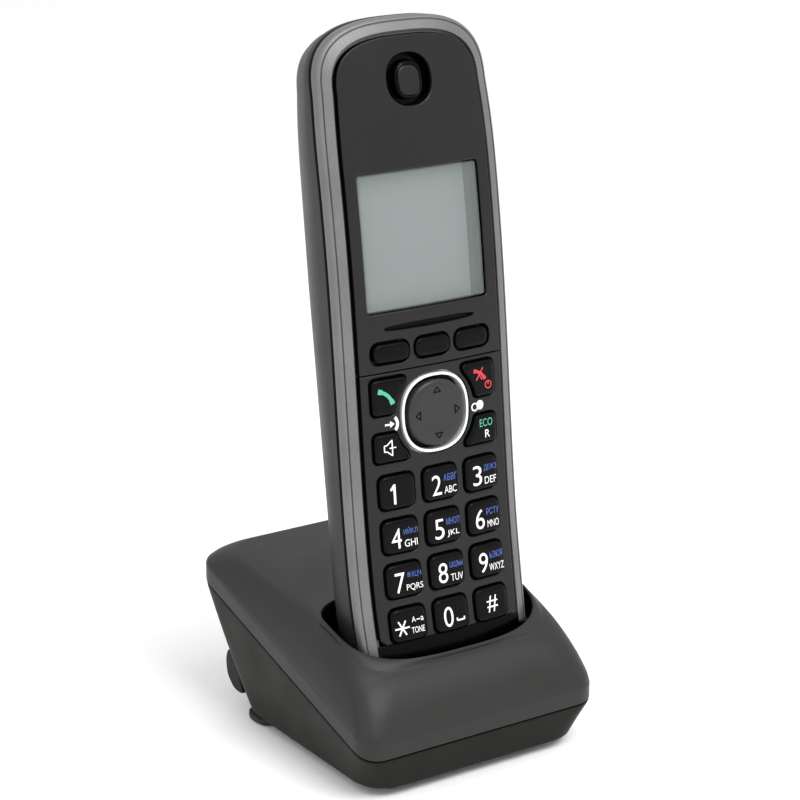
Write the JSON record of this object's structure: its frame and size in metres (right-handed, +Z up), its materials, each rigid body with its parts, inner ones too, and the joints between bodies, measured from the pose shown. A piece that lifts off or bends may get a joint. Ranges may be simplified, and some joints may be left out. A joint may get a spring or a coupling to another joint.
{
  "type": "cordless phone with base",
  "caption": "Cordless telephone handset with keys, display and battery bay, docked in a wedge-shaped charging cradle; keys press, the navigator rocks and the handset lifts out.",
  "frame": {"origin": "on the table under the middle of the bounding box of the whole object", "axes": "+X to the right seen from the keys, +Y towards the back of the cradle, +Z up"},
  "size_m": [0.0686, 0.0776, 0.1787],
  "materials": {
    "charcoal_shell": "fine satin texture, charcoal",
    "charcoal_base": "fine matt texture, warm charcoal",
    "black_face": "semi-gloss dark grey",
    "black_key": "gloss black",
    "silver_paint": "fine-grained silver metallic paint on plastic",
    "pale_ring": "bright pale ring",
    "clear_lens": "clear acrylic window",
    "lcd_grey": "grey-green display, switched off",
    "rubber": "matt rubber",
    "circuit_board": "green solder mask",
    "steel": "plated sheet steel",
    "battery_label": "green shrink sleeve over a metal can"
  },
  "bodies": {
    "cradle": {"cradle_upper_case": "charcoal_shell", "cradle_lower_case": "charcoal_base", "foot_front_left": "rubber", "foot_front_right": "rubber", "foot_rear_left": "rubber", "foot_rear_right": "rubber", "cradle_screw_1": "steel", "cradle_screw_2": "steel", "cradle_screw_3": "steel", "cradle_screw_4": "steel", "cradle_board": "circuit_board", "cradle_power_inlet": "black_face", "cradle_contact_left": "steel", "cradle_contact_right": "steel"},
    "handset": {"handset_rear_cover": "charcoal_shell", "handset_silver_frame": "silver_paint", "handset_display_panel": "black_face", "handset_keypad_panel": "black_face", "handset_display_lens": "clear_lens", "handset_earpiece_grille": "black_face", "handset_navigator_ring": "pale_ring", "handset_screw_1": "steel", "handset_screw_2": "steel", "handset_lcd_module": "lcd_grey", "handset_key_mat": "rubber", "handset_main_board": "circuit_board", "handset_shield_can": "steel", "handset_earpiece_receiver": "steel", "handset_loudspeaker": "steel", "handset_microphone": "steel", "handset_contact_left": "steel", "handset_contact_right": "steel", "battery_left": "battery_label", "battery_right": "battery_label", "battery_contact_bridge": "steel", "battery_contact_left": "steel", "battery_contact_right": "steel"},
    "battery_door": {"handset_battery_door": "charcoal_shell"},
    "key_1_body": {"key_1": "black_key"},
    "key_2_body": {"key_2": "black_key"},
    "key_3_body": {"key_3": "black_key"},
    "key_4_body": {"key_4": "black_key"},
    "key_5_body": {"key_5": "black_key"},
    "key_6_body": {"key_6": "black_key"},
    "key_7_body": {"key_7": "black_key"},
    "key_8_body": {"key_8": "black_key"},
    "key_9_body": {"key_9": "black_key"},
    "key_star_body": {"key_star": "black_key"},
    "key_0_body": {"key_0": "black_key"},
    "key_hash_body": {"key_hash": "black_key"},
    "key_talk_body": {"key_talk": "black_key"},
    "key_off_body": {"key_off": "black_key"},
    "key_speakerphone_body": {"key_speakerphone": "black_key"},
    "key_eco_recall_body": {"key_eco_recall": "black_key"},
    "key_soft_left_body": {"key_soft_left": "black_key"},
    "key_soft_middle_body": {"key_soft_middle": "black_key"},
    "key_soft_right_body": {"key_soft_right": "black_key"},
    "navigator_gimbal": {"navigator_pivot": "rubber"},
    "navigator_rocker": {"navigator_pad": "black_key"}
  },
  "joints": [
    {"name": "handset_lift", "type": "slide", "parent": "cradle", "child": "handset", "axis": [0, 0.103, 0.9947], "range_m": [0, 0.06]},
    {"name": "battery_door_pull", "type": "slide", "parent": "handset", "child": "battery_door", "axis": [0, 0.9867, -0.1624], "range_m": [0, 0.012]},
    {"name": "key_1_press", "type": "slide", "parent": "handset", "child": "key_1_body", "axis": [0, 0.9947, -0.103], "range_m": [0, 0.0007], "stiffness_N_per_m": 55},
    {"name": "key_2_press", "type": "slide", "parent": "handset", "child": "key_2_body", "axis": [0, 0.9947, -0.103], "range_m": [0, 0.0007], "stiffness_N_per_m": 55},
    {"name": "key_3_press", "type": "slide", "parent": "handset", "child": "key_3_body", "axis": [0, 0.9947, -0.103], "range_m": [0, 0.0007], "stiffness_N_per_m": 55},
    {"name": "key_4_press", "type": "slide", "parent": "handset", "child": "key_4_body", "axis": [0, 0.9947, -0.103], "range_m": [0, 0.0007], "stiffness_N_per_m": 55},
    {"name": "key_5_press", "type": "slide", "parent": "handset", "child": "key_5_body", "axis": [0, 0.9947, -0.103], "range_m": [0, 0.0007], "stiffness_N_per_m": 55},
    {"name": "key_6_press", "type": "slide", "parent": "handset", "child": "key_6_body", "axis": [0, 0.9947, -0.103], "range_m": [0, 0.0007], "stiffness_N_per_m": 55},
    {"name": "key_7_press", "type": "slide", "parent": "handset", "child": "key_7_body", "axis": [0, 0.9947, -0.103], "range_m": [0, 0.0007], "stiffness_N_per_m": 55},
    {"name": "key_8_press", "type": "slide", "parent": "handset", "child": "key_8_body", "axis": [0, 0.9947, -0.103], "range_m": [0, 0.0007], "stiffness_N_per_m": 55},
    {"name": "key_9_press", "type": "slide", "parent": "handset", "child": "key_9_body", "axis": [0, 0.9947, -0.103], "range_m": [0, 0.0007], "stiffness_N_per_m": 55},
    {"name": "key_star_press", "type": "slide", "parent": "handset", "child": "key_star_body", "axis": [0, 0.9947, -0.103], "range_m": [0, 0.0007], "stiffness_N_per_m": 55},
    {"name": "key_0_press", "type": "slide", "parent": "handset", "child": "key_0_body", "axis": [0, 0.9947, -0.103], "range_m": [0, 0.0007], "stiffness_N_per_m": 55},
    {"name": "key_hash_press", "type": "slide", "parent": "handset", "child": "key_hash_body", "axis": [0, 0.9947, -0.103], "range_m": [0, 0.0007], "stiffness_N_per_m": 55},
    {"name": "key_talk_press", "type": "slide", "parent": "handset", "child": "key_talk_body", "axis": [0, 0.9947, -0.103], "range_m": [0, 0.0007], "stiffness_N_per_m": 55},
    {"name": "key_off_press", "type": "slide", "parent": "handset", "child": "key_off_body", "axis": [0, 0.9947, -0.103], "range_m": [0, 0.0007], "stiffness_N_per_m": 55},
    {"name": "key_speakerphone_press", "type": "slide", "parent": "handset", "child": "key_speakerphone_body", "axis": [0, 0.9947, -0.103], "range_m": [0, 0.0007], "stiffness_N_per_m": 55},
    {"name": "key_eco_recall_press", "type": "slide", "parent": "handset", "child": "key_eco_recall_body", "axis": [0, 0.9947, -0.103], "range_m": [0, 0.0007], "stiffness_N_per_m": 55},
    {"name": "key_soft_left_press", "type": "slide", "parent": "handset", "child": "key_soft_left_body", "axis": [0, 0.9947, -0.103], "range_m": [0, 0.0007], "stiffness_N_per_m": 55},
    {"name": "key_soft_middle_press", "type": "slide", "parent": "handset", "child": "key_soft_middle_body", "axis": [0, 0.9947, -0.103], "range_m": [0, 0.0007], "stiffness_N_per_m": 55},
    {"name": "key_soft_right_press", "type": "slide", "parent": "handset", "child": "key_soft_right_body", "axis": [0, 0.9947, -0.103], "range_m": [0, 0.0007], "stiffness_N_per_m": 55},
    {"name": "navigator_tilt_up_down", "type": "hinge", "parent": "handset", "child": "navigator_gimbal", "pos_m": [0, -0.01359, 0.08604], "axis": [1, 0, 0], "range_deg": [-4, 4], "stiffness_Nm_per_rad": 0.01},
    {"name": "navigator_tilt_left_right", "type": "hinge", "parent": "navigator_gimbal", "child": "navigator_rocker", "pos_m": [0, -0.01359, 0.08604], "axis": [0, 0.103, 0.9947], "range_deg": [-4, 4], "stiffness_Nm_per_rad": 0.01}
  ]
}
